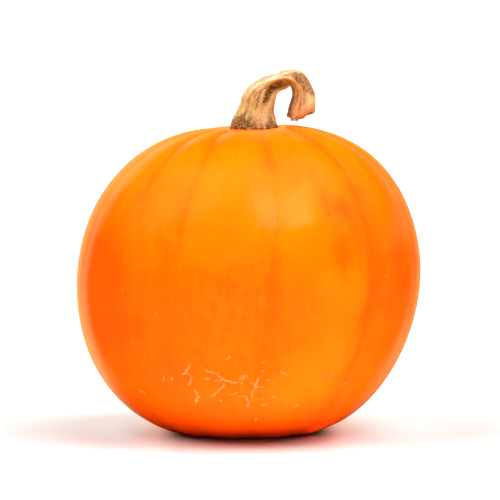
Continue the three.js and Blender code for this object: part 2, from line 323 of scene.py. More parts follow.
# ---------------------------------------------------------------- stem bark
# Zones of the bark: place along the stem (station), angle from the front, half lengths of both, strength.
BARK_ZONES = {
    "pale": (
        (6.6, 44, 2.6, 42, 1.0), (1.7, -20, 1.5, 15, 0.9), (2.7, -33, 1.7, 15, 0.85),
        (4.6, -42, 1.1, 12, 0.8), (15.9, 36, 1.4, 28, 1.2), (9.6, 45, 2.0, 30, 0.7),
        (12.2, -44, 1.9, 10, 0.8), (5.4, 170, 2.5, 60, 0.7), (15.5, 190, 1.5, 35, 0.6),
    ),
    "warm": (
        (4.5, 58, 0.9, 24, 0.9), (4.9, 6, 1.6, 11, 0.9), (2.5, -54, 0.9, 10, 0.8), (11.7, 34, 1.2, 26, 0.8),
        (9.6, 4, 1.5, 20, 0.8), (8.4, -56, 1.4, 16, 1.0), (3.2, 200, 1.2, 30, 0.7),
        (10.5, 150, 2.0, 40, 0.6),
    ),
    "olive": (
        (2.6, 58, 1.5, 20, 0.9), (3.0, 14, 1.7, 5, 0.8), (1.7, 5, 0.9, 12, 0.5), (2.6, 130, 1.2, 25, 0.8),
        (2.4, 240, 1.4, 25, 0.8), (1.7, 30, 1.0, 40, 0.7), (2.4, -56, 1.2, 8, 0.8), (8.4, 72, 1.6, 12, 0.6),
    ),
    "golden": (
        (2.9, -26, 1.9, 30, 0.55), (3.2, 22, 1.2, 26, 0.5), (4.6, -50, 1.6, 12, 0.8),
        (2.8, 180, 1.8, 80, 0.8),
    ),
    "cork": (
        (0.75, 42, 1.35, 34, 1.3), (0.1, 8, 0.8, 15, 1.2), (0.5, -50, 1.2, 16, 1.2),
        (0.2, 150, 0.9, 60, 1.1), (0.3, 250, 0.8, 45, 1.0),
    ),
    "scab": (
        (13.6, 42, 1.5, 34, 1.2), (14.0, 70, 1.3, 26, 1.3), (12.4, 16, 1.0, 14, 0.7),
        (11.8, 36, 0.8, 20, 0.4), (13.0, 150, 1.5, 40, 0.8),
    ),
    "stain": (
        (1.9, 40, 1.2, 34, 1.0), (1.3, -50, 1.0, 14, 1.0), (1.0, -5, 0.8, 20, 0.7),
        (1.3, 160, 1.0, 60, 0.8),
    ),
    "streak": (
        (2.6, 31, 1.5, 4.0, 0.6), (3.8, 1, 0.7, 3.0, 0.7), (4.8, -1, 0.9, 2.4, 0.55),
        (2.3, -44, 1.0, 3, 0.5), (12.5, -3, 1.0, 4, 0.6), (14.0, 8, 1.0, 4, 0.45), (3.4, 100, 1.8, 5, 0.8),
        (3.0, 215, 1.5, 5, 0.8), (8.1, 60, 0.9, 3.0, 0.7), (7.3, 46, 0.7, 2.4, 0.5),
        (9.1, 72, 0.7, 4.0, 0.8), (6.2, 52, 0.7, 2.4, 0.35), (15.6, -14, 1.4, 3.0, 0.5),
        (16.2, -36, 1.2, 3.0, 0.5),
    ),
}
CORD_MM, WRINKLE_MM, FIBRE_MM, LUMP_MM, WART_MM, SCAB_MM = 0.34, 0.28, 0.14, 0.22, 0.62, 0.26
CORK_PIT_MM, SCAB_PIT_MM, FOLD_PIT_MM, STREAK_MM, BARK_SINK_MM = 0.18, 0.14, 0.35, 0.55, 0.12
HANGING_START, HANGING_FULL = 10.8, 13.0
UNROLLED_RADIUS = 9
STEM_FOOT, STEM_TIP = stem_middle(0), stem_middle(LAST)
HOLLOW_TIP = STEM_TIP - (0, 0, TORN_SAG - TORN_HOLLOW)
# zones and marks that stop at the torn edge; the others run on over it
STOPPED = ("cork", "olive", "streak", "fold")
# sines of the angles where the hanging end's inner side begins, and stations where the fold's shade fades
INNER_SIDE, FOLD_FIRST, FOLD_FIRST_SHARE, FOLD_LAST = (-0.62, -0.92), (6.8, 5.9), 0.55, (6.6, 8.4)
# mm above the torn edge, x where the end hangs, and shares of the torn rings
RIM_HEIGHTS, HANGING_X, HOLLOW_SHARES, BOX_SLACK = (3.4, 0.4), (22.5, 28.5), (0.97, 0.86), 0.3


def zone(name, s, angle):
    """How strongly a zone of the bark shows, at stations and angles of one shape."""
    return sum(strength * bell(s - at, half_length) * bell(apart(angle, bearing), half_angle)
               for at, bearing, half_length, half_angle, strength in BARK_ZONES[name])


def along_mm(s):
    """Length along the stem's middle line from its foot, for any station."""
    steps = np.linspace(0, LAST, 400)
    line = stem_middle(steps)[:, [0, 2]]
    length = np.concatenate([[0], np.cumsum(np.linalg.norm(np.diff(line, axis=0), axis=1))])
    return np.interp(s, steps, length)


def bark(s, angle):
    """The bark's relief in mm and its zones, at stations and angles of one shape."""
    base, inward, off = stem_point(s, angle)
    turned = np.radians(angle + stem_station(s)[..., 10])
    unrolled = np.stack([UNROLLED_RADIUS * np.cos(turned), UNROLLED_RADIUS * np.sin(turned), along_mm(s)], -1)

    def ridged(scale, stretch, seed):
        return 1 - 2.2 * np.abs(wave_noise(unrolled * (1, 1, stretch), scale, seed, 2))
    cords, wrinkles = ridged(7.5, 0.20, 21), ridged(3.6, 0.24, 22)
    fibres = wave_noise(unrolled * (1, 1, 0.16), 1.15, 23, 2)
    lumps = wave_noise(base, 6.5, 24, 2)
    warts = wave_noise(base * (1, 1, 1.15), 1.9, 25, 2)
    pits = wave_noise(base, 1.3, 26, 2)
    edge = 0.5 + 0.5 * wave_noise(base, 3.4, 27)
    zones = {name: zone(name, s, angle) for name in BARK_ZONES}
    foot = 1 - smoothstep(0.0, 0.9, s)
    zones["cork"] = smoothstep(0.25, 0.75, (zones["cork"] + 0.2 * foot) * (0.45 + 1.1 * edge))
    zones["scab"] = smoothstep(0.2, 0.8, zones["scab"] * (0.5 + edge))
    zones["lower_wall"] = smoothstep(-0.05, -0.60, off + 0.5 * (edge - 0.5)) * (1 - smoothstep(7.2, 8.6, s))
    hanging = smoothstep(HANGING_START, HANGING_FULL, s)
    # smoother where it is pale and, a little, where it hangs
    strength = np.clip(1 - 0.55 * zones["pale"] * (1 - hanging), 0.35, 1) * (1 - 0.15 * hanging)
    relief = strength * (CORD_MM * cords + WRINKLE_MM * wrinkles + FIBRE_MM * fibres) + LUMP_MM * lumps
    relief += zones["cork"] * (WART_MM * (np.clip(warts + 0.15, 0, 1) - 0.3) + CORK_PIT_MM * pits)
    relief += zones["scab"] * (SCAB_MM * (np.clip(warts + 0.3, 0, 1) - 0.3) + SCAB_PIT_MM * pits)
    relief -= STREAK_MM * np.clip(zones["streak"], 0, 1) * (1 - 0.4 * hanging)
    relief += FOLD_PIT_MM * np.clip(inward, 0, 1) * pits
    crest = np.clip(0.5 + 0.42 * cords + 0.34 * wrinkles * strength + 0.30 * fibres, 0, 1)
    return relief, inward, crest, warts, hanging, zones


def bark_point(s, angle, relief):
    """Points of the finished bark, for the relief that bark gives at these places."""
    row = stem_station(s)
    reach = np.sqrt(row[..., 4] * np.hypot(row[..., 0] - row[..., 2], row[..., 1] - row[..., 3]) / 2)
    return stem_point(s, angle, (relief - BARK_SINK_MM) / reach)[0]


def torn_sag(angle):
    """How far the torn edge hangs down at an angle in degrees, in mm."""
    a = np.radians(angle)
    return TORN_SAG * np.cos(a + math.radians(TORN_TURN)) ** 2 * (1 - 0.5 * np.sin(a))


def torn_rings(edge, angle):
    """The ragged end: rings from the bark's last ring, edge, inwards to the hollow."""
    middle, a = STEM_TIP, np.radians(angle)
    around = np.stack([6 * np.cos(a), 6 * np.sin(a), 0 * a], -1)
    ragged = torn_sag(angle) + 0.4 * np.sin(3 * a + 1) + 0.35 * np.sin(7 * a)
    ragged += 0.55 * wave_noise(around, 2.6, 31) + 0.30 * wave_noise(around, 0.9, 32, 2)
    rings = []
    for share, drop in TORN_RINGS:
        ring = mix(middle, edge, share)
        ring[:, 2] = mix(HOLLOW_TIP[2], edge[:, 2], smoothstep(0, 0.7, share))
        ring[:, 2] -= drop * (0.4 + np.maximum(0, ragged))
        rings.append(ring)
    rings = np.array(rings)
    shift = 0.16 * wave_noise(rings * (1, 1, 0.4), 1.6, 33)
    rings += (rings - middle) * (1, 1, 0) * (shift / 7)[..., None]
    rings[..., 2] += shift * (rings[..., 2] < edge[:, 2] - 0.2)
    return rings


def make_stem():
    columns, rows = 280, 338
    angle = -360.0 * np.arange(columns) / columns
    S, A = np.meshgrid(np.linspace(0, LAST, rows), angle, indexing="ij")
    relief, inward, crest, warts, hanging, zones = bark(S, A)
    p = bark_point(S, A, relief)
    rings = torn_rings(p[-1], angle)
    low, high = (np.array(c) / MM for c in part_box("stem"))
    verts = np.concatenate([[STEM_FOOT], p.reshape(-1, 3), rings.reshape(-1, 3), [HOLLOW_TIP]])
    verts = np.clip(verts, low - BOX_SLACK, high + BOX_SLACK)

    def over_rings(values, stopped=False):
        ends = np.tile(np.zeros(columns) if stopped else values[-1], len(rings))
        return np.concatenate([values.flat[:1], values.ravel(), ends, ends[-1:]])
    attributes = {
        **zones, "crest": crest, "fold": inward, "wart": np.clip(0.5 + warts, 0, 1), "hanging": hanging,
        "inner": smoothstep(*INNER_SIDE, np.sin(np.radians(A))) * hanging,
        "fold_end": np.maximum(smoothstep(*FOLD_LAST, S), FOLD_FIRST_SHARE * smoothstep(*FOLD_FIRST, S)),
    }
    attributes = {key: over_rings(values, key in STOPPED) for key, values in attributes.items()}
    # the torn edge's own colours: a rim just above its lowest points, and the hollow inside it
    lowest = np.tile(rings[..., 2].min(axis=0), rows + len(rings))
    above = verts[:, 2] - np.concatenate([[0], lowest, lowest[:1]]) + wave_noise(verts, 3.0, 34)
    rim = smoothstep(*RIM_HEIGHTS, above) * smoothstep(*HANGING_X, verts[:, 0])
    attributes["rim"] = rim * attributes["hanging"]
    inside = np.repeat(smoothstep(*HOLLOW_SHARES, [share for share, _ in TORN_RINGS]), columns)
    attributes["hollow"] = np.concatenate([np.zeros(1 + S.size), inside, [1.0]])
    return mesh_object("stem_bark", verts, ring_faces(rows + len(rings), columns), attributes)


def tube(points, normals, widths, heights, sides=6):
    """A closed tube with flattened round sections: vertices and faces."""
    points, normals = np.asarray(points, float), np.asarray(normals, float)
    tangent = unit(np.gradient(points, axis=0))
    side = unit(np.cross(tangent, normals))
    rise = np.cross(side, tangent)
    turn = -2 * np.pi * np.arange(sides) / sides
    ring = (points[:, None] + side[:, None] * (np.cos(turn)[:, None] * np.reshape(widths, (-1, 1, 1)))
            + rise[:, None] * (np.sin(turn)[:, None] * np.reshape(heights, (-1, 1, 1))))
    return np.concatenate([points[:1], ring.reshape(-1, 3), points[-1:]]), ring_faces(len(points), sides)


def joined(name, parts):
    """One object from many (vertices, faces, tint) parts."""
    verts, faces, tints, start = [], [], [], 0
    for part_verts, part_faces, tint in parts:
        verts.append(part_verts)
        faces += [tuple(i + start for i in f) for f in part_faces]
        tints.append(np.full(len(part_verts), tint))
        start += len(part_verts)
    return mesh_object(name, np.concatenate(verts), faces, {"tint": np.concatenate(tints)})


def bark_surface(s, angle, lift=0.0):
    """Points on the finished bark and their outward directions, for stations and angles of one shape."""
    s, angle = np.asarray(s, float), np.asarray(angle, float)
    out = unit(stem_point(s, angle, 0.1)[0] - stem_point(s, angle)[0])
    return bark_point(s, angle, bark(s, angle)[0]) + out * lift, out


# strands across the fold: from station and angle, to station and angle, radius, tint (0 dark to 1 pale)
FOLD_STRANDS = (
    (5.0, -14, 4.5, -38, 0.30, 0.12), (5.7, -12, 4.7, -40, 0.26, 0.20), (5.4, -16, 6.6, -52, 0.30, 0.15),
    (6.2, -12, 5.2, -48, 0.22, 0.45), (6.4, -8, 7.4, -50, 0.28, 0.25), (6.7, -4, 5.9, -50, 0.20, 0.60),
    (7.8, 2, 6.8, -48, 0.16, 0.50), (8.2, 2, 9.0, -44, 0.18, 0.20), (9.3, 4, 8.4, -46, 0.18, 0.15),
    (4.4, -18, 5.0, -34, 0.30, 0.06), (6.0, -14, 6.2, -40, 0.34, 0.08), (7.0, -8, 7.9, -40, 0.26, 0.10),
)
# threads lying on the bark: from station and angle, to station and angle, radius, tint
LYING_STRANDS = (
    (5.2, 60, 6.4, 68, 0.12, 0.20), (6.2, 58, 7.6, 68, 0.13, 0.12), (7.0, 52, 8.1, 60, 0.11, 0.20),
    (7.4, 66, 8.8, 76, 0.13, 0.10), (8.2, 58, 9.3, 70, 0.11, 0.15), (8.9, 68, 10.1, 80, 0.12, 0.12),
    (9.6, 56, 10.8, 66, 0.11, 0.20), (10.5, 62, 11.7, 72, 0.13, 0.15), (10.2, 34, 12.2, 26, 0.10, 0.25),
    (11.2, 46, 12.9, 42, 0.12, 0.18), (6.6, 40, 7.9, 45, 0.09, 0.30), (11.8, 20, 13.6, 24, 0.09, 0.25),
    (4.5, 8, 5.9, 0, 0.11, 0.15), (3.6, 2, 5.0, -8, 0.10, 0.20), (4.3, -24, 5.2, -20, 0.12, 0.08),
    (3.9, -14, 5.0, -22, 0.12, 0.10), (12.4, 62, 14.0, 66, 0.10, 0.20), (9.2, 150, 11.0, 140, 0.11, 0.20),
    (5.8, 170, 7.6, 150, 0.11, 0.20), (3.2, 200, 4.8, 190, 0.10, 0.25),
)
# hairs: station, angle, length, radius, tint, droop
HAIRS = (
    (8.6, -80, 1.6, 0.14, 0.25, 0.9), (8.9, -86, 2.2, 0.11, 0.20, 0.7), (8.1, -84, 1.3, 0.12, 0.45, 0.9),
    (9.4, -78, 1.1, 0.12, 0.30, 0.5), (11.3, 84, 2.3, 0.17, 0.30, 0.0), (11.5, 70, 1.2, 0.13, 0.45, 0.0),
    (9.7, 86, 1.3, 0.14, 0.40, 0.1), (10.2, 88, 1.1, 0.11, 0.75, 0.1), (10.6, 80, 1.2, 0.10, 0.85, 0.1),
    (8.6, 88, 1.1, 0.12, 0.35, 0.2), (7.9, 86, 0.9, 0.12, 0.55, 0.2), (9.2, 90, 1.0, 0.10, 0.80, 0.2),
    (12.2, 86, 0.9, 0.11, 0.70, 0.1), (13.2, 88, 0.8, 0.10, 0.60, 0.1), (17.2, 40, 1.0, 0.09, 0.60, 1.2),
)
# spikes: angle round the torn end, length, radius, tint
TORN_SPIKES = (
    (-56, 2.3, 0.70, 0.02), (-62, 1.5, 0.45, 0.10), (-17, 2.1, 0.85, 0.02), (-24, 1.4, 0.50, 0.15),
    (-8, 1.2, 0.45, 0.30), (4, 0.9, 0.35, 0.45), (18, 1.0, 0.30, 0.40), (34, 1.2, 0.14, 0.70),
    (52, 0.9, 0.30, 0.35), (75, 1.1, 0.35, 0.20), (-82, 1.3, 0.35, 0.20), (100, 1.2, 0.30, 0.20),
    (128, 1.5, 0.40, 0.15), (150, 1.0, 0.35, 0.30), (176, 1.6, 0.45, 0.10), (204, 1.1, 0.35, 0.25),
    (232, 1.5, 0.40, 0.10),
)
FUZZ_COUNT = 260


def make_fibres():
    """Loose strands: across the collapsed fold, frayed off its lip, along the top, and torn ends."""
    rng = np.random.default_rng(7)
    parts = []

    def strand(points, radius, tint, taper=0.75):
        share = np.linspace(0, 1, len(points))
        radii = np.maximum(radius * (1 - taper * share ** 1.3), 0.03)
        parts.append((*tube(points, np.tile((0.02, -1.0, 0.03), (len(points), 1)), radii, radii), tint))

    def hair(root, lean, length, points, droop=0.0):
        share = np.linspace(0, 1, points)[:, None]
        return root + share * length * unit(lean) + share ** 2 * (0, 0, -droop * length)
    # across the fold: from its upper wall to its lower lip, sagging inwards between the two
    for s0, a0, s1, a1, radius, tint in FOLD_STRANDS:
        (start, end), _ = bark_surface([s0, s1], [a0, a1], 0.05)
        share = np.linspace(0, 1, 12)[:, None]
        line = mix(start, end, share)
        sag = 1.3 * float(smoothstep(4.8, 6.5, (s0 + s1) / 2)) - 0.15
        line[:, 1] += sag * np.sin(np.pi * share[:, 0])
        line += 0.15 * np.sin(share * (9, 7, 8) + rng.uniform(0, 6, 3))
        strand(line, radius, tint, 0.35)
    # dark threads lying on the bark, mostly along the top
    for s0, a0, s1, a1, radius, tint in LYING_STRANDS:
        share = np.linspace(0, 1, 9)
        wander = 1.2 * np.sin(share * 7 + rng.uniform(0, 6))
        line, _ = bark_surface(mix(s0, s1, share), mix(a0, a1, share) + wander, 0.06)
        strand(line, radius, tint, 0.6)
    # frayed off the lip and along the top, then short fuzz all over
    for s, angle, length, radius, tint, droop in HAIRS:
        root, out = bark_surface([s], [angle], -0.1)
        ahead = unit(stem_point(s + 0.1, angle)[0] - stem_point(s, angle)[0])
        lean = out + 0.5 * ahead + rng.normal(scale=0.15, size=3)
        strand(hair(root, lean, length, 7, droop), radius, tint)
    for _ in range(FUZZ_COUNT):
        s, angle = rng.uniform(1.0, 17.6), rng.uniform(-180, 180)
        length = rng.uniform(0.4, 1.1) * (1.4 if 35 < angle < 125 and 7 < s < 13 else 0.8)
        root, out = bark_surface([s], [angle], -0.1)
        line = hair(root, out + rng.normal(scale=0.55, size=3), length, 4)
        strand(line, rng.uniform(0.045, 0.085), rng.uniform(0.35, 0.95))
    # ragged spikes and threads round the torn end
    for angle, length, radius, tint in TORN_SPIKES:
        root = stem_point(float(LAST), angle)[0]
        start = mix(STEM_TIP, root, 0.84)
        start[2] = root[2] - max(0.0, torn_sag(angle)) * 0.8 + 1.2
        share = np.linspace(0, 1, 10)[:, None]
        down = np.array((rng.uniform(-0.12, 0.12), rng.uniform(-0.1, 0.06), -1.0))
        line = start + share * (length + 1.6) * down
        line[1:] += rng.normal(scale=0.06, size=(9, 3))
        strand(line, radius, tint, 0.92)
    return joined("stem_fibres", parts)


COLLAR_HEIGHT = 168.0
# lumps of the collar: bearing, half width in degrees, size
COLLAR_LUMPS = ((10, 9, 3.0), (-44, 9, 2.4), (52, 16, 0.8), (84, 12, 0.6), (140, 18, 0.9), (205, 14, 0.7),
                (255, 14, 0.8))


def make_collar():
    """The corky rim where the stem's foot is grown to the fruit."""
    columns, sides = 360, 26
    angle = -360.0 * np.arange(columns) / columns
    foot = stem_point(np.full(columns, 0.12), angle)[0]
    out = unit((foot - STEM_FOOT) * (1, 1, 0))
    lumps = sum(strength * bell(apart(angle, at), half) for at, half, strength in COLLAR_LUMPS)
    reach = (np.maximum(0, wave_noise(foot, 4.2, 41, 2)) + lumps)[:, None, None]
    # hardly any cork over one pale stretch at the front
    size = (1 - 0.7 * bell(apart(angle, -22), 13))[:, None, None]
    turn = (2 * np.pi * np.arange(sides) / sides)[None, :, None]
    p = foot[:, None] * (1, 1, 0) + (0, 0, COLLAR_HEIGHT)
    p = p + out[:, None] * (np.cos(turn) * (0.65 + 0.40 * reach) * size - 0.55)
    p = p + np.array([0, 0, 1.0]) * (np.sin(turn) * (0.9 + 0.25 * reach) * size - 0.35 * reach)
    p = p.reshape(-1, 3)
    rough = wave_noise(p, 1.7, 42)
    swell = 0.55 * np.clip(rough, 0, 1) + 0.12 * wave_noise(p, 0.7, 43, 2)
    grown = p + np.repeat(out, sides, axis=0) * swell[:, None]
    grown[:, 2] += 0.35 * wave_noise(p, 1.9, 44, 2)
    faces = []
    for c in range(columns):
        here, there = c * sides, (c + 1) % columns * sides
        faces += [(here + k, there + k, there + (k + 1) % sides, here + (k + 1) % sides) for k in range(sides)]
    return mesh_object("stem_collar", grown, faces, {"wart": np.clip(0.5 + rough, 0, 1)})


# ---------------------------------------------------------------- cork scars on the skin
# Each scar: width factor, paleness, then a line of places on the skin (bearing in degrees and the profile
# parameter t).
SCAR_LINES = (
    (0.9, 0.8, (-19.2, 1.196), (-20.6, 1.176), (-21.3, 1.163)), (1.0, 0.9, (-23.2, 1.149), (-21.3, 1.163)),
    (0.6, 0.3, (-21.3, 1.163), (-20, 1.151), (-17.5, 1.137)),
    (0.9, 0.7, (-19.8, 1.143), (-20.2, 1.119), (-21.7, 1.102)),
    (0.9, 0.7, (-14.1, 1.176), (-13.2, 1.171), (-11.4, 1.168), (-9.8, 1.162), (-8.9, 1.150), (-7.5, 1.136)),
    (0.8, 0.55, (-11.2, 1.130), (-8.9, 1.135), (-7.1, 1.137)),
    (1.1, 0.9, (-7.5, 1.136), (-5.2, 1.130), (-2.7, 1.121)),
    (1.1, 0.75, (-14.5, 1.136), (-13.4, 1.141), (-12.5, 1.144)),
    (0.95, 0.75, (-7.2, 1.116), (-8.9, 1.096), (-10.7, 1.077), (-12, 1.060), (-13.4, 1.055)),
    (0.5, 0.4, (-8.4, 1.128), (-7.2, 1.116)),
    (0.8, 0.6, (-1.8, 1.136), (-1.1, 1.150), (0.4, 1.153), (1.4, 1.141)),
    (0.6, 0.4, (-2.7, 1.121), (-1.5, 1.136)), (1.0, 0.9, (5.1, 1.144), (4.6, 1.124), (4.3, 1.108)),
    (0.8, 0.7, (4.3, 1.108), (3.4, 1.082), (2.9, 1.048)),
    (0.8, 0.6, (2.0, 1.123), (3.2, 1.120), (4.3, 1.108)),
    (0.7, 0.3, (4.3, 1.108), (5.7, 1.102), (7.4, 1.097)),
    (1.0, 0.75, (-19.0, 1.089), (-18.7, 1.070), (-18.4, 1.050)),
    (1.2, 0.85, (-17.5, 1.055), (-18.4, 1.048), (-19.7, 1.028)),
    (0.9, 0.4, (-5.7, 1.067), (-4.0, 1.071), (-2.8, 1.078)),
    (0.8, 0.4, (-2.0, 1.060), (-0.1, 1.062), (1.0, 1.052), (1.7, 1.027)),
    (1.0, 0.5, (5.8, 1.204), (7.2, 1.210)), (0.9, 0.35, (5.7, 1.169), (7.1, 1.173)),
    (0.9, 0.5, (7.5, 1.130), (9.2, 1.137)), (1.0, 0.6, (12.5, 1.167), (14.2, 1.163), (15.4, 1.153)),
    (0.8, 0.3, (17.6, 1.089), (18.9, 1.085)), (1.0, 0.7, (10.9, 1.047), (12.3, 1.056), (13.1, 1.055)),
    (0.7, 0.35, (7.4, 1.045), (8.2, 1.035)), (1.1, 0.65, (7.1, 1.007), (8.6, 1.008), (10.0, 1.018)),
    (1.0, 0.5, (21.2, 0.996), (23.4, 1.007)), (0.8, 0.25, (5.8, 0.930), (5.5, 0.900)),
    (0.8, 0.5, (-13.7, 1.218), (-13.5, 1.210)), (0.8, 0.5, (-31.8, 1.114), (-30.6, 1.144)),
    (0.7, 0.15, (28.9, 1.139), (31.5, 1.153), (34.2, 1.163)), (0.5, 0.05, (29.8, 1.129), (34.9, 1.150)),
    (0.6, 0.1, (39.9, 1.089), (43.9, 1.099)), (0.8, 0.5, (-46.1, 1.061), (-42.8, 1.046)),
    (0.7, 0.4, (-1.9, 1.225), (-1.8, 1.215)), (1.0, 0.7, (118, 1.15), (121, 1.13), (126, 1.14)),
    (0.8, 0.6, (121, 1.13), (123, 1.09)), (1.0, 0.6, (150, 1.32), (155, 1.30), (157, 1.33)),
    (0.9, 0.8, (196, 1.08), (200, 1.10), (205, 1.07), (209, 1.09)),
    (0.8, 0.5, (238, 1.22), (241, 1.17), (240, 1.12)),
)
# Knots of cork: bearing, t, size, paleness.
SCAR_KNOTS = (
    (-21.3, 1.163, 1.1, 0.9), (-13.8, 1.176, 0.9, 0.7), (-8.0, 1.139, 1.3, 0.8), (-0.4, 1.142, 2.1, 0.9),
    (4.3, 1.108, 1.7, 0.95), (-19.8, 1.024, 2.1, 0.95), (1.8, 1.014, 1.9, 0.45), (-9.5, 1.038, 1.0, 0.5),
    (-27.7, 1.123, 1.1, 0.5), (-3.0, 1.205, 0.8, 0.3), (-5.9, 1.218, 0.9, 0.35), (10.8, 1.119, 0.7, 0.25),
    (-19.2, 1.048, 0.8, 0.6), (-16.3, 1.224, 0.9, 0.4), (-5.5, 1.225, 1.3, 0.6), (31.5, 1.333, 0.9, 0.5),
    (34.6, 1.272, 0.9, 0.4), (51.2, 1.491, 0.9, 0.6), (63.1, 1.507, 0.8, 0.5), (-41.6, 1.260, 0.9, 0.5),
    (-31.2, 1.376, 0.9, 0.5), (-45.4, 1.450, 0.9, 0.5), (-72.6, 1.177, 0.9, 0.5), (57.3, 1.027, 0.9, 0.5),
    (104, 1.30, 1.0, 0.5), (133, 1.12, 1.3, 0.7), (165, 1.50, 0.9, 0.5), (182, 1.20, 1.2, 0.6),
    (214, 1.36, 1.0, 0.5), (226, 1.05, 0.9, 0.5), (252, 1.42, 1.1, 0.6),
)
SCAR_HALF_WIDTH, SCAR_RISE, SCAR_STEP, SCAR_END = 0.54, 0.23, 0.35, 0.9
SCAR_WAVES = ((0.16, 2.1), (0.08, 5.3))
# roughly, mm of skin for a degree round and for a whole unit of t
DEGREE_MM, KNOT_DEGREE_MM, T_MM = 1.5, 1.55, 95


def skin_at(bearing, t):
    """Points of the finished skin and its outward directions, at true bearings in degrees."""
    def point(b, q):
        return grown_skin(*rib_place(b, q), q)[0]
    east = point(bearing + 0.2, t) - point(bearing - 0.2, t)
    north = point(bearing, t + 0.004) - point(bearing, t - 0.004)
    return point(bearing, t), unit(np.cross(east, north))


def make_scars():
    """Raised cork: wandering lines that swell and taper, and knots of a few crossed crumbs each."""
    rng = np.random.default_rng(12)
    parts = []
    for factor, tint, *line in SCAR_LINES:
        bearings, ts = np.array(line).T
        step = np.hypot(np.diff(bearings) * DEGREE_MM, np.diff(ts) * T_MM)
        length = np.concatenate([[0], np.cumsum(step)])
        at = np.linspace(0, length[-1], max(6, int(length[-1] / SCAR_STEP)))
        wander = sum(size * np.sin(at * rate + rng.uniform(0, 6)) for size, rate in SCAR_WAVES)
        bearing, t = np.interp(at, length, bearings), np.interp(at, length, ts)
        p, out = skin_at(bearing + wander * 0.7, t + wander * 0.010)
        ends = np.minimum(1, np.sqrt(np.maximum(0, np.minimum(at, length[-1] - at)) / SCAR_END) + 0.12)
        swell = ends * (1 + 0.30 * np.sin(at * 3.7 + rng.uniform(0, 6)) + 0.15 * np.sin(at * 8.1))
        parts.append((*tube(p, out, SCAR_HALF_WIDTH * factor * swell, SCAR_RISE * swell, 8), tint))
    at = np.linspace(-1, 1, 7)
    swell = np.sqrt(np.maximum(0.02, 1 - at ** 2))
    for bearing, t, size, tint in SCAR_KNOTS:
        for k in range(1 if size < 1 else round(3 * size)):
            turn, away = rng.uniform(0, np.pi), rng.normal(scale=0.42 * size if k else 0, size=2)
            reach = SCAR_HALF_WIDTH * (1.0 if size < 1 else rng.uniform(0.8, 1.35))
            p, out = skin_at(bearing + (away[0] + at * reach * math.cos(turn)) / KNOT_DEGREE_MM,
                             t + (away[1] + at * reach * math.sin(turn)) / T_MM)
            crumb = tube(p, out, reach * 0.85 * swell, SCAR_RISE * 0.9 * swell, 8)
            parts.append((*crumb, tint - rng.uniform(0, 0.2)))
    return joined("skin_scars", parts)


BLOSSOM_RADIUS = 6.5


def make_blossom_scar():
    """The corky disc left by the flower, in the hollow underneath."""
    columns, rows = 96, 22
    bearing = 360.0 * np.arange(columns) / columns
    B, R = np.meshgrid(bearing, np.linspace(0, 1, rows + 1)[1:], indexing="ij")
    b = np.radians(B)
    radius = R * BLOSSOM_RADIUS * (1 + 0.08 * np.sin(5 * b + 1) + 0.05 * np.sin(9 * b))
    x, y = radius * np.sin(b), -radius * np.cos(b)
    # the profile parameter t at each radius near the flower
    t = np.linspace(0, 0.4, 60)
    t = np.interp(radius, sum(a * np.sin(k * t) for k, a in enumerate(RADIUS_TERMS, 1)), t)
    skin_z = skin_at(B, t)[0][..., 2]
    crumb = 0.5 + 0.5 * wave_noise(np.stack([x, y, 0 * x], -1), 1.8, 51)
    swell = (1 - R ** 4) * (0.45 + 0.35 * crumb + 0.5 * bell(R - 0.62, 0.12) + 0.6 * bell(R, 0.2))
    shift = float(skin(0, np.float64(0), np.float64(0))[0][0])
    rings = [np.stack([x + shift, y, z], -1).transpose(1, 0, 2) for z in (skin_z - swell, skin_z + 0.4)]
    ends = [[[shift, 0, ring[0, :, 2].mean()]] for ring in rings]
    verts = np.concatenate([ends[0], rings[0].reshape(-1, 3), rings[1][::-1].reshape(-1, 3), ends[1]])
    return mesh_object("blossom_scar", verts, ring_faces(2 * rows, columns))


fruit, stem = make_fruit(), make_stem()
scars, fibres, collar, blossom = make_scars(), make_fibres(), make_collar(), make_blossom_scar()
for piece in (fruit, stem, scars, fibres, collar, blossom):
    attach(piece, "root")
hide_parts("fruit")
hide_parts("stem")


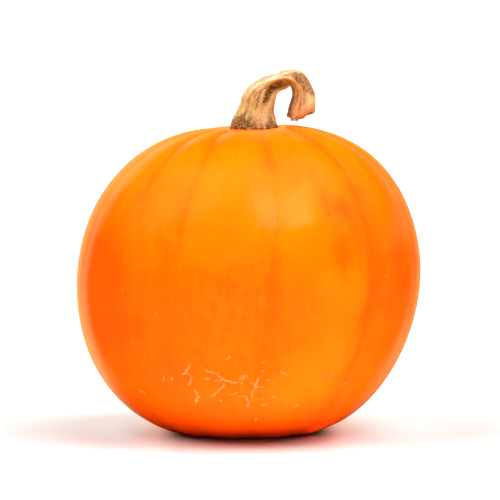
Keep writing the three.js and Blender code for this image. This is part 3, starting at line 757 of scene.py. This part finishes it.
# ---------------------------------------------------------------- node helpers
class Nodes:
    """A short way to build a node tree: each call adds a node and links what it is given."""

    def __init__(self, tree):
        self.tree = tree
        tree.nodes.clear()

    def add(self, kind, inputs=None, **settings):
        node = self.tree.nodes.new(kind)
        for key, value in settings.items():
            setattr(node, key, value)
        for key, value in (inputs or {}).items():
            if isinstance(value, bpy.types.NodeSocket):
                self.tree.links.new(value, node.inputs[key])
            else:
                node.inputs[key].default_value = value
        return node

    def place(self, kind="Object"):
        return self.add("ShaderNodeTexCoord").outputs[kind]

    def split(self, vector):
        return self.add("ShaderNodeSeparateXYZ", {0: vector}).outputs

    def attributes(self, *names):
        return (self.add("ShaderNodeAttribute", attribute_name=name).outputs["Fac"] for name in names)

    def math(self, operation, a, b=0.0, clamp=False):
        return self.add("ShaderNodeMath", {0: a, 1: b}, operation=operation, use_clamp=clamp).outputs[0]

    def plus(self, a, b):
        return self.math("ADD", a, b)

    def minus(self, a, b):
        return self.math("SUBTRACT", a, b)

    def times(self, a, *factors):
        for b in factors:
            a = self.math("MULTIPLY", a, b)
        return a

    def share(self, a, b):
        return self.math("MULTIPLY", a, b, clamp=True)

    def stirred(self, value, noise, amount):
        """The value moved up and down by a noise."""
        return self.plus(value, self.times(self.minus(noise, 0.5), amount))

    def band(self, value, low, high, to_low=0.0, to_high=1.0, kind="SMOOTHSTEP"):
        return self.add("ShaderNodeMapRange", {0: value, 1: low, 2: high, 3: to_low, 4: to_high},
                        interpolation_type=kind).outputs[0]

    def noise(self, vector, scale, detail=3.0, roughness=0.55, distortion=0.0):
        inputs = {"Vector": vector, "Scale": scale, "Detail": detail, "Roughness": roughness,
                  "Distortion": distortion}
        return self.add("ShaderNodeTexNoise", inputs).outputs["Fac"]

    def blend(self, fac, a, b):
        """A colour between a and b; each is an output or three numbers."""
        a, b = (c if isinstance(c, bpy.types.NodeSocket) else (*c, 1.0) for c in (a, b))
        return self.add("ShaderNodeMix", {0: fac, 6: a, 7: b}, data_type="RGBA").outputs[2]

    def ramp(self, value, low, high, a, b, kind="SMOOTHSTEP"):
        """A colour that goes from a to b as the value goes from low to high."""
        return self.blend(self.band(value, low, high, kind=kind), a, b)

    def surface(self, colour, roughness, ior, relief=None, **inputs):
        """The shader and its output; relief is a bump's height, strength and distance in metres."""
        inputs = {"Base Color": colour, "Roughness": roughness, "IOR": ior, **inputs}
        if relief:
            bump = self.add("ShaderNodeBump", dict(zip(("Height", "Strength", "Distance"), relief)))
            inputs["Normal"] = bump.outputs[0]
        self.add("ShaderNodeOutputMaterial", {0: self.add("ShaderNodeBsdfPrincipled", inputs).outputs[0]})


def material(name, build):
    mat = bpy.data.materials.new(name)
    mat.use_nodes = True
    build(Nodes(mat.node_tree))
    return mat


# ---------------------------------------------------------------- skin material
GOLDEN, ORANGE, DEEP = (0.94, 0.235, 0.0004), (0.95, 0.165, 0.0004), (0.95, 0.088, 0.0006)
RED, SPECK = (0.90, 0.055, 0.0006), (0.95, 0.34, 0.03)
# heights in metres where the painted shade at the bottom begins and where it is full
BOTTOM_SHADE_HEIGHTS = (0.032, 0.004)


def skin_nodes(n):
    where = n.place()
    x, y, z = n.split(where)
    from_furrow, line, tone = n.attributes("from_furrow", "line", "tone")
    # place around the fruit, for streaks that run from the stem to the flower end
    around = n.math("ARCTAN2", x, n.times(y, -1.0))
    turn = {0: n.math("SINE", around), 1: n.math("COSINE", around), 2: n.times(z, 2.2)}
    turn = n.add("ShaderNodeCombineXYZ", turn).outputs[0]
    streak = n.noise(turn, 30.0, 4.0, 0.6, 0.25)
    fine_streak = n.noise(turn, 95.0, 3.0, 0.6, 0.2)
    cloud = n.noise(where, 46.0, 4.0, 0.6, 0.8)
    grain = n.noise(where, 230.0, 3.0, 0.6)
    speck = n.noise(where, 520.0, 1.0, 0.5)
    for noise, amount in ((cloud, 0.50), (streak, 0.42), (fine_streak, 0.26), (grain, 0.24)):
        tone = n.stirred(tone, noise, amount)
    # the furrows: a soft deeper line, broken up by the streaks, with faint painted shade wide beside it
    wavering = n.stirred(n.stirred(from_furrow, cloud, 5.0), grain, 2.4)
    furrow_line = n.times(n.band(wavering, 3.6, 0.2), line, n.band(streak, 0.3, 0.6, 0.35, 1.0))
    tone = n.minus(tone, n.times(n.band(from_furrow, 13.0, 0.5), line, 0.10))
    tone = n.minus(tone, n.times(furrow_line, 0.24))
    colour = n.ramp(tone, 0.0, 0.62, DEEP, ORANGE, "LINEAR")
    colour = n.ramp(tone, 0.55, 1.10, colour, GOLDEN, "LINEAR")
    # painted shade: the skin turns deep red towards the bottom, where less light reaches
    colour = n.blend(n.band(z, *BOTTOM_SHADE_HEIGHTS, 0.0, 0.9), colour, RED)
    colour = n.blend(n.band(speck, 0.72, 0.80, 0.0, 0.10), colour, SPECK)
    height = n.plus(n.plus(n.times(fine_streak, 0.5), n.times(streak, 0.6)), n.times(speck, 0.12))
    n.surface(colour, n.plus(0.09, n.times(streak, 0.09)), 1.33, (height, 0.20, 0.0008))


def scar_nodes(n):
    tint, = n.attributes("tint")
    crumb = n.noise(n.place(), 900.0, 2.0, 0.6)
    colour = n.blend(tint, (0.95, 0.20, 0.03), (0.95, 0.34, 0.15))
    colour = n.blend(n.band(crumb, 0.42, 0.70, 0.0, 0.55), colour, (0.92, 0.19, 0.015))
    n.surface(colour, 0.62, 1.36, (crumb, 0.3, 0.0002))


# ---------------------------------------------------------------- stem materials
CREAM, TAN, OCHRE = (0.93, 0.68, 0.43), (0.78, 0.42, 0.20), (0.56, 0.24, 0.075)
BROWN, DARK = (0.20, 0.07, 0.02), (0.045, 0.016, 0.006)
ROSY, ROSY_PALE, ROSY_DEEP = (0.76, 0.38, 0.18), (0.86, 0.50, 0.27), (0.45, 0.18, 0.075)
GOLDEN_DEEP, GOLDEN_PALE = (0.62, 0.32, 0.09), (0.88, 0.56, 0.24)
WARM_PALE, WARM_DEEP = (0.78, 0.36, 0.10), (0.62, 0.20, 0.04)
OLIVE, OLIVE_PALE, STAIN = (0.33, 0.21, 0.035), (0.56, 0.40, 0.10), (0.24, 0.10, 0.025)
SCAB_TONES = (0.24, 0.085, 0.035), (0.42, 0.17, 0.065), (0.58, 0.29, 0.12)
WART_TONES = (0.085, 0.032, 0.012), (0.26, 0.115, 0.035), (0.44, 0.23, 0.07)
# the third colour is painted light from above, making the fold's lower wall paler
FOLD_WALL, FOLD_WALL_PALE, LIT_LOWER_WALL = (0.64, 0.28, 0.09), (0.76, 0.38, 0.14), (0.74, 0.44, 0.17)
# the first two are painted shade deep in the fold, the third painted shade on the hanging end's inner side
FOLD_SHADE, FOLD_SHADE_PALE, INNER = (0.15, 0.058, 0.022), (0.46, 0.21, 0.075), (0.12, 0.05, 0.024)
RUST, RUST_DEEP = (0.60, 0.15, 0.03), (0.40, 0.10, 0.025)
# the first colour is the dry fuzz's specks, the second is painted shade for bark seen edge on
FUZZ, EDGE_ON_SHADE = (0.12, 0.05, 0.018), (0.16, 0.075, 0.03)


def stem_nodes(n):
    where = n.place()
    crest, fold, cork, scab, wart, pale, warm, golden = n.attributes(
        "crest", "fold", "cork", "scab", "wart", "pale", "warm", "golden")
    olive, streak, stain, hanging, inner, rim, hollow, lower_wall, fold_end = n.attributes(
        "olive", "streak", "stain", "hanging", "inner", "rim", "hollow", "lower_wall", "fold_end")
    grain = n.noise(where, 900.0, 3.0, 0.7, 0.3)
    patch = n.noise(where, 150.0, 4.0, 0.6, 0.5)
    fleck = n.noise(where, 420.0, 3.0, 0.65, 0.3)
    ridge = n.stirred(crest, fleck, 0.6)

    # plain bark, with painted light on its ridges and painted shade between them, then its zones from the
    # broad to the small, whose tones also run paler on the ridges
    colour = n.ramp(ridge, 0.15, 0.75, OCHRE, n.ramp(patch, 0.36, 0.64, CREAM, TAN))
    colour = n.ramp(ridge, 0.28, -0.02, colour, BROWN)
    rosy = n.ramp(ridge, 0.1, 0.7, ROSY_DEEP, n.ramp(patch, 0.4, 0.6, ROSY, ROSY_PALE))
    scabby, warty = (n.ramp(wart, low, 0.95, n.ramp(fleck, 0.4, 0.6, dark, middle), light)
                     for low, (dark, middle, light) in ((0.4, SCAB_TONES), (0.35, WART_TONES)))
    for strength, amount, tone in (
            (pale, n.band(ridge, 0.0, 0.55, 0.35, 0.85), CREAM),
            (golden, 0.8, n.ramp(ridge, 0.1, 0.7, GOLDEN_DEEP, GOLDEN_PALE)),
            (warm, 0.75, n.ramp(fleck, 0.35, 0.65, WARM_PALE, WARM_DEEP)),
            (olive, n.band(fleck, 0.3, 0.6, 0.5, 0.95), n.blend(crest, OLIVE, OLIVE_PALE)),
            (hanging, n.minus(0.92, n.share(pale, 0.75)), rosy),
            (streak, 0.85, BROWN),
            (scab, 0.75, scabby),
            (stain, n.band(fleck, 0.44, 0.60, 0.05, 0.75), STAIN),
            (cork, n.band(fleck, 0.32, 0.62, 0.92, 0.62), warty)):
        colour = n.blend(n.share(strength, amount), colour, tone)

    # the fold: its wall, painted light that makes its lower wall paler, and painted shade deep inside
    depth = n.stirred(fold, fleck, 0.3)
    wall = n.ramp(fleck, 0.4, 0.6, FOLD_WALL, FOLD_WALL_PALE)
    wall = n.blend(n.share(lower_wall, 0.85), wall, n.ramp(fleck, 0.35, 0.6, LIT_LOWER_WALL, CREAM))
    colour = n.ramp(depth, 0.06, 0.30, colour, wall)
    lit = n.math("MAXIMUM", n.share(lower_wall, 0.9), n.share(fold_end, 0.85))
    shaded = n.times(n.band(depth, 0.30, 0.60), n.minus(1.0, lit))
    colour = n.blend(shaded, colour, n.ramp(patch, 0.42, 0.58, FOLD_SHADE, FOLD_SHADE_PALE))

    # the hanging end: painted shade on its inner side, the torn rim and the hollow
    for strength, amount, tone in (
            (inner, n.band(fleck, 0.35, 0.65, 0.95, 0.6), INNER),
            (rim, n.band(grain, 0.3, 0.6, 0.55, 0.9), n.ramp(fleck, 0.35, 0.65, RUST, RUST_DEEP)),
            (hollow, 0.9, BROWN)):
        colour = n.blend(n.share(strength, amount), colour, tone)

    # dry fuzz: fine specks; then painted shade, the colour dulled and darkened where the bark is seen edge on
    colour = n.blend(n.band(grain, 0.56, 0.40, 0.0, 0.55), colour, n.blend(0.5, colour, FUZZ))
    edge_on = n.add("ShaderNodeLayerWeight", {"Blend": 0.35}).outputs["Facing"]
    colour = n.blend(n.band(edge_on, 0.45, 1.0, 0.0, 0.6), colour, n.blend(0.55, colour, EDGE_ON_SHADE))
    height = n.plus(n.times(grain, 0.6), n.times(fleck, 0.5))
    n.surface(colour, n.band(grain, 0.3, 0.7, 0.60, 0.85), 1.4, (height, 0.65, 0.0006))


def fibre_nodes(n):
    tint, = n.attributes("tint")
    value = n.stirred(tint, n.noise(n.place(), 700.0, 2.0, 0.6), 0.3)
    colour = n.ramp(value, 0.0, 0.5, DARK, OCHRE, "LINEAR")
    n.surface(n.ramp(value, 0.5, 1.0, colour, CREAM, "LINEAR"), 0.75, 1.4)


def cork_nodes(n):
    wart, = n.attributes("wart")
    fleck = n.noise(n.place(), 520.0, 4.0, 0.65, 0.4)
    colour = n.ramp(wart, 0.3, 0.95, n.ramp(fleck, 0.38, 0.62, DARK, BROWN), (0.50, 0.24, 0.08))
    n.surface(colour, 0.85, 1.4, (fleck, 0.6, 0.0006))


for name, build, pieces in (
        ("pumpkin_skin", skin_nodes, [fruit]), ("pumpkin_scar", scar_nodes, [scars]),
        ("pumpkin_stem", stem_nodes, [stem]), ("stem_fibre", fibre_nodes, [fibres]),
        ("stem_cork", cork_nodes, [collar, blossom])):
    mat = material(name, build)
    for piece in pieces:
        piece.data.materials.append(mat)


# ---------------------------------------------------------------- floor
FLOOR_SIDE, FLOOR_STEPS, FLOOR_AHEAD = 7.0, 28, 1.0
FLOOR_SEEN, FLOOR_DIFFUSE, FLOOR_DIFFUSE_GRAIN = (0.66, 0.66, 0.66), (0.88, 0.88, 0.40), (0.90, 0.90, 0.42)
# the table as the skin mirrors it, left and right: brightness, and how far round to the side it reaches; in
# metres, where left turns to right and where the dark front ends
FLOOR_MIRROR, FLOOR_MIRROR_GAP, FLOOR_MIRROR_SLOPE = (0.48, 0.30), 0.12, (1.28, 1.9)
MIRROR_SIDES, MIRROR_FRONT = (-0.02, 0.02), (-0.02, 0.025)
# painted light in both ends of the shadow, an emission seen only by the camera: distances in metres from the
# shadow's middle, colours near and far
SHADOW_LEFT_SHIFT, SHADOW_RIGHT_SHIFT = 0.005, 0.003
ENDS_NEAR, ENDS_FAR, ENDS_FRONT = (0.040, 0.056), (0.15, 0.060), (-0.045, 0.015)
ENDS_COLOUR_CHANGE, ENDS_COLOURS = (0.045, 0.075), ((0.75, 0.40, 0.26), (0.14, 0.27, 0.25))
# the softbox that the skin mirrors: bearing and elevation, half sizes as tangents, colour, strength
SOFTBOX_PLACE, SOFTBOX_HALF = (33, 55.5), (0.19, 0.34)
SOFTBOX_TINT, SOFTBOX_STRENGTH = (1.0, 0.86, 0.38), 6.8


def floor_nodes(n):
    where = n.place()
    x, y, _ = n.split(where)
    ray = n.add("ShaderNodeLightPath").outputs
    colour = n.blend(n.noise(where, 60.0), FLOOR_DIFFUSE, FLOOR_DIFFUSE_GRAIN)
    colour = n.blend(ray["Is Camera Ray"], colour, FLOOR_SEEN)
    # painted reflection: glossy rays see the table tinted and bright behind and beside the fruit, and black in
    # front of it
    slope = n.band(x, *MIRROR_SIDES, *FLOOR_MIRROR_SLOPE)
    beside = n.times(n.minus(n.math("ABSOLUTE", x), FLOOR_MIRROR_GAP), slope)
    mirrored = n.band(n.minus(y, n.math("MAXIMUM", beside, 0.0)), *MIRROR_FRONT)
    mirrored = n.times(mirrored, n.band(x, *MIRROR_SIDES, *FLOOR_MIRROR))
    colour = n.blend(ray["Is Glossy Ray"], colour, n.blend(mirrored, (0, 0, 0), SOFTBOX_TINT))
    # painted light: a tinted emission, seen only by the camera, in both ends of the shadow
    off = n.math("MAXIMUM", n.plus(x, SHADOW_RIGHT_SHIFT), n.minus(SHADOW_LEFT_SHIFT, x))
    ends = n.times(n.band(off, *ENDS_NEAR), n.band(off, *ENDS_FAR), n.band(y, *ENDS_FRONT, 0.3, 1.0),
                   ray["Is Camera Ray"])
    n.surface(colour, 0.9, 1.5, **{"Specular IOR Level": 0.0, "Emission Strength": ends,
                                   "Emission Color": n.ramp(off, *ENDS_COLOUR_CHANGE, *ENDS_COLOURS)})


def make_floor():
    axis = np.linspace(-FLOOR_SIDE / 2, FLOOR_SIDE / 2, FLOOR_STEPS + 1)
    verts = [(x / MM, (y + FLOOR_AHEAD) / MM, 0.0) for y in axis for x in axis]
    w = FLOOR_STEPS + 1
    corners = [r * w + c for r in range(FLOOR_STEPS) for c in range(FLOOR_STEPS)]
    floor = mesh_object("floor", verts, [(k, k + 1, k + w + 1, k + w) for k in corners])
    floor.data.materials.append(material("floor_white", floor_nodes))
    return floor


floor = make_floor()


# ---------------------------------------------------------------- lights and camera
def put(name, data, back, place=(0, 0, 0)):
    """A light or camera at a place, with its back towards the vector."""
    obj = bpy.data.objects.new(name, data)
    bpy.context.scene.collection.objects.link(obj)
    b = unit(np.array(back, float))
    obj.rotation_euler = (math.acos(b[2]), 0.0, math.atan2(b[0], -b[1]))
    obj.location = place
    return obj


def toward(bearing, elevation):
    """Unit vector for a bearing from the front towards +X and a height over the horizon, in degrees."""
    b, e = math.radians(bearing), math.radians(elevation)
    return (math.sin(b) * math.cos(e), -math.cos(b) * math.cos(e), math.sin(e))


# name, bearing, elevation, angle across, strength: broad soft lights over the sides, weak fill from the front
SOFT_LIGHTS = (
    ("left_soft", -90, 50, 52, 3.0),
    ("right_high_soft", 90, 70, 46, 2.35),
    ("right_low_soft", 90, 50, 52, 1.65),
    ("front_high_fill", 0, 70, 46, 0.43),
    ("front_low_fill", 0, 10, 58, 0.30),
)
for name, bearing, elevation, angle, strength in SOFT_LIGHTS:
    data = bpy.data.lights.new(name, "SUN")
    data.angle, data.energy = math.radians(angle), strength
    put(name, data, toward(bearing, elevation)).visible_glossy = False

# name, width and length, power, spread in degrees, place, point it faces: light thrown up by the white table
# just in front of the fruit, and a card behind the stem that fills the stem's shadow on the crown
PANELS = (
    ("floor_glow", (0.25, 0.035), 0.030, 180, (0.025, -0.080, 0.0015), (0.025, -0.080, 1.0)),
    ("right_floor_glow", (0.07, 0.05), 0.0080, 180, (0.068, -0.054, 0.0015), (0.068, -0.054, 1.0)),
    ("crown_card", (0.09, 0.05), 0.058, 50, (0.030, 0.085, 0.197), (0.022, 0.0, 0.168)),
)
for name, size, power, spread, place, target in PANELS:
    data = bpy.data.lights.new(name, "AREA")
    data.shape = "RECTANGLE"
    data.size, data.size_y = size
    data.energy, data.spread = power, math.radians(spread)
    obj = put(name, data, np.subtract(place, target), place)
    obj.visible_glossy = obj.visible_camera = False

# the backdrop: bearings in degrees from straight behind where its left edge, middle and right edge fade, and
# heights where its top fades and where it grows wider; its right half ends lower and is dimmer
BACKDROP_LEFT, BACKDROP_MIDDLE, BACKDROP_RIGHT, BACKDROP_TOP = (-40, -36), (-8, 10), (33, 27), (0.60, 0.35)
BACKDROP_WIDER, WIDER_HEIGHTS, BACKDROP_STRENGTH = 55, (0.04, 0.12), 0.60
RIGHT_LOWER, RIGHT_DIMMER, LEFT_BRIGHTER, LEFT_BEARINGS = 0.24, 0.25, 1.55, (-2, -14)
WORLD_DIFFUSE, WORLD_SEEN = 0.04, 1.1


def make_world():
    """What the glossy skin sees: a white backdrop behind, dark room in front, one softbox above."""
    world = bpy.data.worlds.new("studio")
    bpy.context.scene.world = world
    world.use_nodes = True
    n = Nodes(world.node_tree)
    ray = n.add("ShaderNodeLightPath").outputs
    direction = n.place("Generated")
    x, y, z = n.split(direction)
    bearing = n.math("DEGREES", n.math("ARCTAN2", x, y))
    to_right = n.band(bearing, *BACKDROP_MIDDLE)
    right_edge = n.minus(bearing, n.band(z, *WIDER_HEIGHTS, 0.0, BACKDROP_WIDER))
    height = n.plus(z, n.times(to_right, RIGHT_LOWER))
    backdrop = n.times(n.band(bearing, *BACKDROP_LEFT), n.band(right_edge, *BACKDROP_RIGHT),
                       n.band(height, *BACKDROP_TOP), n.band(bearing, *LEFT_BEARINGS, 1.0, LEFT_BRIGHTER),
                       n.minus(1.0, n.times(to_right, RIGHT_DIMMER)))
    key = np.array(toward(*SOFTBOX_PLACE))
    right = unit(np.cross((0, 0, 1), key))

    def along(v):
        dot = n.add("ShaderNodeVectorMath", {0: direction, 1: tuple(v)}, operation="DOT_PRODUCT")
        return dot.outputs["Value"]
    depth = along(key)
    u, v = (n.math("DIVIDE", n.math("DIVIDE", along(axis), depth), half)
            for axis, half in zip((right, np.cross(key, right)), SOFTBOX_HALF))
    box = n.times(n.band(n.math("ABSOLUTE", u), 1.06, 0.94), n.band(v, -1.03, -0.97), n.band(v, 1.05, -0.4),
                  n.math("GREATER_THAN", depth, 0.1))
    glossy = n.plus(n.times(backdrop, BACKDROP_STRENGTH), n.times(box, SOFTBOX_STRENGTH))
    strength = n.add("ShaderNodeMix", {0: ray["Is Glossy Ray"], 2: WORLD_DIFFUSE, 3: glossy}).outputs[0]
    strength = n.add("ShaderNodeMix", {0: ray["Is Camera Ray"], 2: strength, 3: WORLD_SEEN}).outputs[0]
    tint = n.blend(ray["Is Camera Ray"], SOFTBOX_TINT, (1.0, 1.0, 1.0))
    back = n.add("ShaderNodeBackground", {"Color": tint, "Strength": strength})
    n.add("ShaderNodeOutputWorld", {0: back.outputs[0]})
    world.cycles.sampling_method = "NONE"


make_world()

ELEVATION, DISTANCE, FRAME_MM, SENSOR_MM = 5.5, 2.0, 276.5, 36
LOOK_AT = (0.00095, 0, 0.100)
back = np.array(toward(0, ELEVATION))
data = bpy.data.cameras.new("camera")
data.sensor_width, data.clip_end = SENSOR_MM, 50
data.lens = SENSOR_MM * DISTANCE / (FRAME_MM * MM)
bpy.context.scene.camera = put("camera", data, back, LOOK_AT + back * DISTANCE)
bpy.context.scene.view_settings.view_transform = "Standard"
bpy.context.scene.view_settings.look = "None"

bpy.context.view_layer.update()
